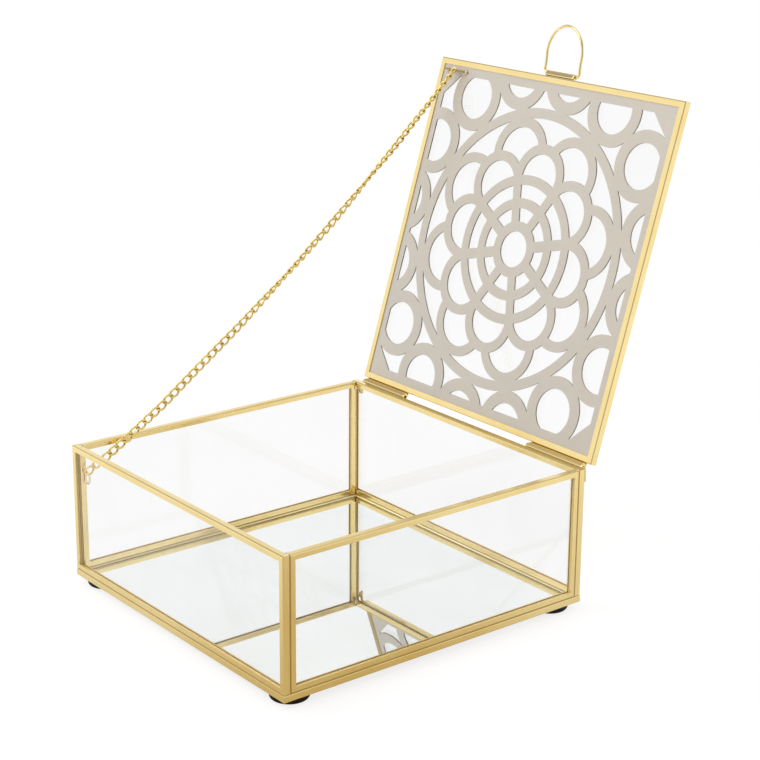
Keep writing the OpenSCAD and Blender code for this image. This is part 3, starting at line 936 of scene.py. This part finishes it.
low, high = corners("chain_eye_lid")
bar_y, bar_z = joint_at["chain_high_1_turn"][1:]
reach = 1.9 * MM
root_y, root_z = (joint_at["chain_high_1_turn"] + LID_UP * reach)[1:]
left_x, right_x = low[0] + EYE_WIRE, high[0] + 4.6 * MM
turns = [
    [left_x, root_y, root_z],
    [left_x, bar_y, bar_z],
    [right_x, bar_y, bar_z],
    [right_x, root_y, root_z],
]
bar = wire(bent(turns, mm(0.8, 0.8)), EYE_WIRE, sides=12, side=LID_OUT)
piece("chain_bar_lid", [bar], "lid", BRASS_SEAM, ["chain_eye_lid"])
dab_y, dab_z = (joint_at["chain_high_1_turn"] + LID_UP * (reach - 0.2 * MM))[1:]
dabs = [
    bead([x, dab_y, dab_z], mm(2.2, 1.7, 1.0), out=-LID_UP, lie=RIGHT, seed=x * 500)
    for x in (left_x, right_x)
]
piece("chain_bar_solder", dabs, "lid", SOLDER)


# ---- floor and light ----

ROOM = unit(toward * [1, 1, 0])


def toward_room(tree, way):
    """How far a direction points to the open side of the room: the cosine of the angle between."""
    return add(
        tree, "ShaderNodeVectorMath", {0: way, 1: tuple(ROOM)}, operation="DOT_PRODUCT"
    ).outputs["Value"]


def pale_floor():
    """White board that glows, a painted light, so that shadows on it stay faint. To the metal it
    shows
    painted shade: a little darker near the box than further off, and a dim brown towards the room,
    as under a real soft light."""
    made, tree, shader = material("pale_floor")
    coords = position(tree)
    away = add(tree, "ShaderNodeVectorMath", {0: coords}, operation="LENGTH").outputs["Value"]
    way = add(tree, "ShaderNodeVectorMath", {0: coords}, operation="NORMALIZE").outputs[0]
    # Painted shade in the metal's reflections: darker near the box, dim brown towards the room.
    mirrored = mix_colour(tree, span(tree, away, 0.11, 0.34), (0.56, 0.55, 0.53), (0.8, 0.8, 0.8))
    dim = span(tree, toward_room(tree, way), 0.5, 0.97)
    mirrored = mix_colour(tree, dim, mirrored, (0.38, 0.3, 0.15))
    ray = add(tree, "ShaderNodeLightPath").outputs
    through = mix_colour(tree, ray["Is Transmission Ray"], mirrored, (0.745, 0.745, 0.745))
    cloud = noise(tree, coords, 3.0)
    finish = {
        "Base Color": mix_colour(tree, cloud, (0.24, 0.24, 0.24), (0.26, 0.26, 0.26)),
        # Painted light: the board glows, so the box's shadows on it stay faint.
        "Emission Color": mix_colour(tree, ray["Is Camera Ray"], through, (0.8, 0.8, 0.8)),
        "Emission Strength": 1.0,
        "Roughness": 0.9,
        "Specular IOR Level": 0.1,
    }
    feed(tree, shader, finish)
    return made


reach = 6.0
mesh = bpy.data.meshes.new("floor")
board = [(-reach, -reach, 0), (reach, -reach, 0), (reach, reach, 0), (-reach, reach, 0)]
mesh.from_pydata(board, [], [(0, 1, 2, 3)])
mesh.materials.append(pale_floor())
floor = bpy.data.objects.new("floor", mesh)
bpy.context.scene.collection.objects.link(floor)


def studio():
    """White tent. In metal it has a darker seam halfway up, a bell curve of the height, and a dim
    side where the room lies open."""
    world = bpy.data.worlds.new("studio")
    bpy.context.scene.world = world
    world.use_nodes = True
    tree = world.node_tree
    way = add(tree, "ShaderNodeTexCoord").outputs["Generated"]
    height = add(tree, "ShaderNodeSeparateXYZ", {0: way}).outputs["Z"]
    off = maths(tree, "DIVIDE", maths(tree, "SUBTRACT", height, 0.62), 0.17)
    bell = maths(tree, "EXPONENT", maths(tree, "MULTIPLY", maths(tree, "MULTIPLY", off, off), -1.0))
    seam = span(tree, bell, 0.0, 1.0, 1.0, 0.4)
    dim = span(tree, toward_room(tree, way), 0.45, 0.95, 1.0, 0.42)
    mirrored = maths(tree, "MULTIPLY", seam, dim)
    ray = add(tree, "ShaderNodeLightPath").outputs
    through = span(tree, ray["Is Transmission Ray"], 0.0, 1.0, mirrored, 0.97)
    shown = span(tree, ray["Is Camera Ray"], 0.0, 1.0, through, 1.03)
    feed(tree, tree.nodes["Background"], {"Strength": shown, "Color": (1, 1, 1, 1)})


def lamp(name, at, aim, size, power):
    """A soft square lamp that points at a place."""
    data = bpy.data.lights.new(name, "AREA")
    data.size = size
    data.energy = power
    obj = bpy.data.objects.new(name, data)
    back = unit(np.asarray(at, float) - np.asarray(aim, float))
    side = unit(np.cross([0, 0, 1], back))
    rows = np.eye(4)
    rows[:3, 0], rows[:3, 1], rows[:3, 2], rows[:3, 3] = side, np.cross(back, side), back, at
    obj.matrix_world = Matrix(rows.tolist())
    bpy.context.scene.collection.objects.link(obj)


studio()
lamp("key", (-0.5, -1.1, 1.3), (0, 0, 0.08), 1.0, 7.0)
bpy.context.scene.view_settings.view_transform = "Standard"
